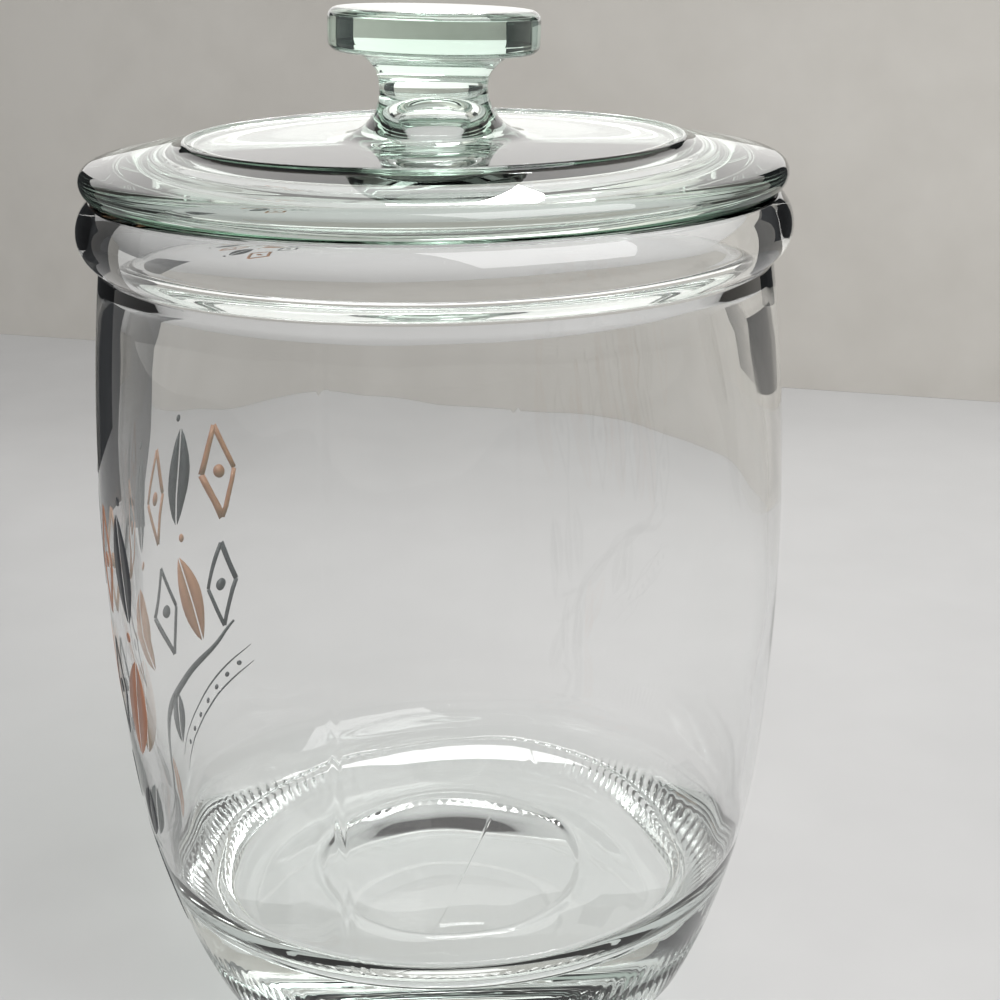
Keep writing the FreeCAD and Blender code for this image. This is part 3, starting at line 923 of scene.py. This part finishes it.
Lamp = namedtuple("Lamp", "name size place aim power seen")
LAMPS = (
    Lamp("softbox", (0.10, 0.035), (0.018, 0.40, 0.451), (0, -0.06, 0.18), 0.35, False),
    Lamp("glow", (1.0, 0.3), (0.1, 0.42, 0.35), (0.1, 0, 0.30), 0.75, False),
    Lamp("ceiling", (1.1, 1.1), (0.55, -0.45, 1.2), (0.15, 0.3, 0.1), 17, True),
)


def sheet(name, width, height, place, material):
    """A flat sheet of the stage; place turns and moves it from the ground."""
    bm = bmesh.new()
    bmesh.ops.create_grid(bm, x_segments=1, y_segments=1, size=0.5)
    bmesh.ops.scale(bm, vec=(width, height, 1), verts=bm.verts[:])
    bmesh.ops.transform(bm, matrix=place, verts=bm.verts[:])
    mesh = bpy.data.meshes.new(name)
    bm.to_mesh(mesh)
    bm.free()
    mesh.materials.append(material)
    thing = bpy.data.objects.new(name, mesh)
    bpy.context.scene.collection.objects.link(thing)
    return thing


def lay_floor(stage):
    material = mottled("floor", stage.floor_dark, stage.floor_light, scale=3, roughness=0.5)
    place = Matrix.Translation((0, 0, -FLOOR_GAP))
    sheet("floor", stage.floor_width, stage.floor_width, place, material)


def stand_wall(stage):
    material = mottled("wall", stage.wall_dark, stage.wall_light, scale=4, roughness=0.8)
    turn = Matrix.Rotation(-stage.wall_turn, 4, "Z")
    middle = turn @ Vector((0, stage.wall_distance, stage.wall_height / 2))
    place = Matrix.Translation(middle) @ turn @ Matrix.Rotation(QUARTER, 4, "X")
    sheet("wall", stage.wall_width, stage.wall_height, place, material)


def stand_flags(stage):
    """Dark cards that only the glass shows."""
    material = mottled("flag", stage.flag_dark, stage.flag_light, scale=5, roughness=0.9)
    side = stage.flag_size
    cards = (("flag_left", stage.flag_left, 0), ("flag_right", stage.flag_right, stage.flag_lift))
    for name, across, lift in cards:
        middle = Matrix.Translation((across, stage.flag_back, side / 2 + lift))
        card = sheet(name, side, side, middle @ Matrix.Rotation(QUARTER, 4, "X"), material)
        card.visible_camera = card.visible_shadow = card.visible_diffuse = False


def hang_lamps():
    for kind in LAMPS:
        data = bpy.data.lights.new(kind.name, "AREA")
        data.shape = "RECTANGLE"
        data.size, data.size_y = kind.size
        data.energy = kind.power
        lamp = bpy.data.objects.new(kind.name, data)
        lamp.location = kind.place
        ray = Vector(kind.aim) - Vector(kind.place)
        lamp.rotation_euler = ray.to_track_quat("-Z", "Y").to_euler()
        lamp.visible_camera = kind.seen
        bpy.context.scene.collection.objects.link(lamp)


def room(stage):
    """A pale room where it is looked at, and a dimmer one as a light."""
    world = bpy.data.worlds.new("room")
    world.use_nodes = True
    tree = world.node_tree
    nodes, links = tree.nodes, tree.links
    path = nodes.new("ShaderNodeLightPath")
    seen = nodes.new("ShaderNodeMath")
    seen.operation = "MAXIMUM"
    links.new(path.outputs["Is Camera Ray"], seen.inputs[0])
    links.new(path.outputs["Is Transmission Ray"], seen.inputs[1])
    factor, result = colour_mix(tree, stage.room_light, stage.room_seen)
    links.new(seen.outputs[0], factor)
    links.new(result, nodes["Background"].inputs["Color"])
    nodes["Background"].inputs["Strength"].default_value = 1.0
    return world


def aim_camera(stage):
    data = bpy.data.cameras.new("camera")
    data.lens = stage.lens
    data.sensor_width = SENSOR_WIDTH
    camera = bpy.data.objects.new("camera", data)
    bpy.context.scene.collection.objects.link(camera)
    camera.location = (0, -stage.camera_back, stage.camera_height)
    yaw = Matrix.Rotation(-stage.yaw, 3, "Z")
    pitch = Matrix.Rotation(QUARTER - stage.pitch, 3, "X")
    roll = Matrix.Rotation(stage.roll, 3, "Z")
    camera.rotation_euler = (yaw @ pitch @ roll).to_euler()
    return camera


class CANISTER_OT_stage(bpy.types.Operator):
    """Set up the floor, the wall, the lamps and the camera"""

    bl_idname = "canister.stage"
    bl_label = "Stage"

    def execute(self, context):
        scene = context.scene
        stage = scene.canister_stage
        lay_floor(stage)
        stand_wall(stage)
        stand_flags(stage)
        hang_lamps()
        scene.world = room(stage)
        scene.camera = aim_camera(stage)
        scene.view_settings.view_transform = "Standard"
        return {"FINISHED"}


# ---------------------------------------------------------------- add-on


class CANISTER_PT_panel(bpy.types.Panel):
    """Lists the steps that build the canister"""

    bl_idname = "CANISTER_PT_panel"
    bl_label = "Glass canister"
    bl_space_type = "VIEW_3D"
    bl_region_type = "UI"
    bl_category = "Canister"

    def draw(self, context):
        for step in STEPS:
            self.layout.operator(step.bl_idname)


STEPS = (CANISTER_OT_jar, CANISTER_OT_lid, CANISTER_OT_print, CANISTER_OT_stage)
GROUPS = {
    "canister_jar": JarSizes,
    "canister_lid": LidSizes,
    "canister_print": PrintColours,
    "canister_stage": StageSizes,
}


def register():
    for cls in (*GROUPS.values(), *STEPS, CANISTER_PT_panel):
        bpy.utils.register_class(cls)
    for name, group in GROUPS.items():
        setattr(bpy.types.Scene, name, bpy.props.PointerProperty(type=group))


def unregister():
    for name in GROUPS:
        delattr(bpy.types.Scene, name)
    for cls in (CANISTER_PT_panel, *reversed(STEPS), *GROUPS.values()):
        bpy.utils.unregister_class(cls)


def main():
    register()
    bpy.ops.canister.jar()
    bpy.ops.canister.lid()
    bpy.ops.canister.print()
    bpy.ops.canister.stage()


if __name__ == "__main__":
    main()
